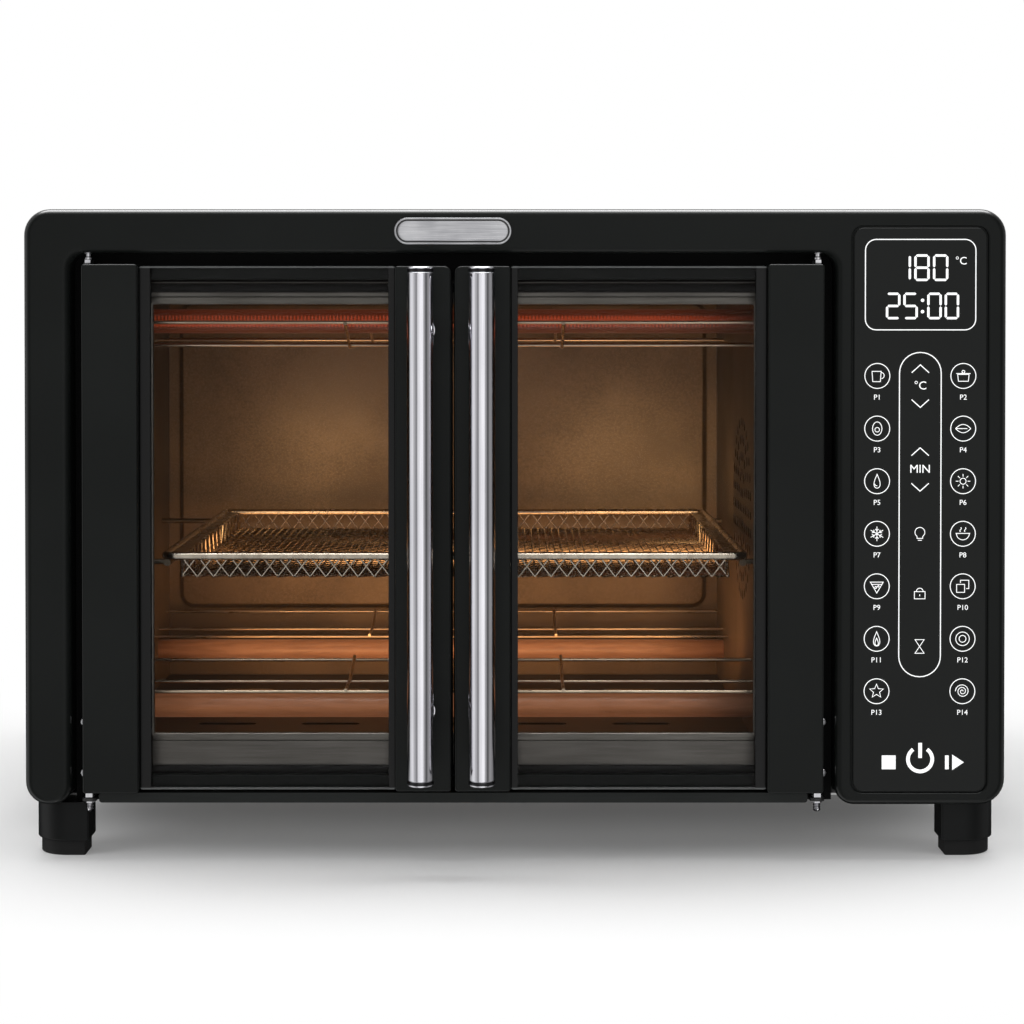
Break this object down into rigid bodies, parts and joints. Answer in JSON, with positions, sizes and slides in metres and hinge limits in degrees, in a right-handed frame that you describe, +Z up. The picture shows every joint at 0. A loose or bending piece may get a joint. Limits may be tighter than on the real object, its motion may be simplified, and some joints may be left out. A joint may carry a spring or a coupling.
{
  "type": "toaster oven",
  "caption": "Countertop toaster oven with a pair of French doors, upright bar handles, quartz heaters, a mesh basket, a crumb tray and a touch control panel.",
  "frame": {"origin": "on the table under the middle of the oven's overall box", "axes": "+X to the right along the front, +Y to the back, +Z up"},
  "size_m": [0.4528, 0.387, 0.3004],
  "materials": {
    "black_moulding": "satin black moulding",
    "case_paint": "fine-textured black paint",
    "plated_sheet": "zinc-plated sheet",
    "recess_paint": "black paint",
    "seal_rubber": "soft black silicone",
    "face_steel": "aluminised steel",
    "cavity_steel": "dark non-stick coated steel",
    "quartz": "frosted quartz",
    "filament_wire": "resistance wire",
    "cap_ceramic": "white steatite",
    "guard_wire": "plated wire",
    "rail_steel": "plated sheet",
    "basket_steel": "plated wire and expanded mesh",
    "tray_steel": "black coated sheet",
    "fan_metal": "pressed sheet",
    "motor_paint": "motor body",
    "bright_steel": "plated fasteners",
    "panel_gloss": "gloss black touch panel",
    "display_black": "display",
    "board_green": "circuit board",
    "badge_steel": "bare brushed plate",
    "foot_plastic": "black moulding",
    "sole_rubber": "black rubber",
    "stile_paint": "satin black paint",
    "door_glass": "toughened glass",
    "handle_steel": "polished steel"
  },
  "bodies": {
    "oven": {"front_frame": "black_moulding", "outer_case": "case_paint", "back_panel": "case_paint", "base_plate": "plated_sheet", "lower_hinge_brackets": "plated_sheet", "fan_housing": "plated_sheet", "recess_plate": "recess_paint", "door_seal": "seal_rubber", "cavity_face_frame": "face_steel", "cavity_floor": "cavity_steel", "cavity_ceiling": "cavity_steel", "cavity_left_wall": "cavity_steel", "cavity_right_wall": "cavity_steel", "cavity_back_wall": "cavity_steel", "upper_heater_tubes": "quartz", "lower_heater_tubes": "quartz", "heater_filaments": "filament_wire", "heater_caps": "cap_ceramic", "upper_heater_guard": "guard_wire", "lower_heater_guard": "guard_wire", "left_rack_rails": "rail_steel", "right_rack_rails": "rail_steel", "fan_motor": "motor_paint", "hinge_bushes": "bright_steel", "lower_hinge_bolts": "bright_steel", "case_screws": "bright_steel", "touch_panel": "panel_gloss", "display_module": "display_black", "control_board": "board_green", "badge": "badge_steel", "front_feet": "foot_plastic", "rear_feet": "foot_plastic", "cord_gland": "foot_plastic", "rear_spacers": "foot_plastic", "foot_soles": "sole_rubber"},
    "left_door": {"left_hinge_stile": "stile_paint", "left_handle_stile": "stile_paint", "left_door_glass": "door_glass", "left_door_rails": "stile_paint", "left_handle_bar": "handle_steel", "left_handle_caps": "handle_steel", "left_handle_posts": "handle_steel", "left_upper_pivot": "bright_steel", "left_door_screws": "bright_steel"},
    "right_door": {"right_hinge_stile": "stile_paint", "right_handle_stile": "stile_paint", "right_door_glass": "door_glass", "right_door_rails": "stile_paint", "right_handle_bar": "handle_steel", "right_handle_caps": "handle_steel", "right_handle_posts": "handle_steel", "right_upper_pivot": "bright_steel", "right_door_screws": "bright_steel"},
    "basket": {"basket_rim": "basket_steel", "basket_floor": "basket_steel", "basket_sides": "basket_steel"},
    "crumb_tray": {"crumb_tray": "tray_steel"},
    "fan": {"convection_fan": "fan_metal", "fan_shaft": "bright_steel", "cooling_blade": "fan_metal"}
  },
  "joints": [
    {"name": "left_door_hinge", "type": "hinge", "parent": "oven", "child": "left_door", "pos_m": [-0.1971, -0.1485, 0.031], "axis": [0, 0, -1], "range_deg": [0, 95]},
    {"name": "right_door_hinge", "type": "hinge", "parent": "oven", "child": "right_door", "pos_m": [0.1399, -0.1485, 0.031], "axis": [0, 0, 1], "range_deg": [0, 95]},
    {"name": "basket_slide", "type": "slide", "parent": "oven", "child": "basket", "axis": [0, -1, 0], "range_m": [0, 0.01]},
    {"name": "crumb_tray_slide", "type": "slide", "parent": "oven", "child": "crumb_tray", "axis": [0, -1, 0], "range_m": [0, 0.28]},
    {"name": "fan_spin", "type": "hinge", "parent": "oven", "child": "fan", "pos_m": [0.119, -0.0135, 0.1512], "axis": [1, 0, 0], "continuous": true}
  ]
}
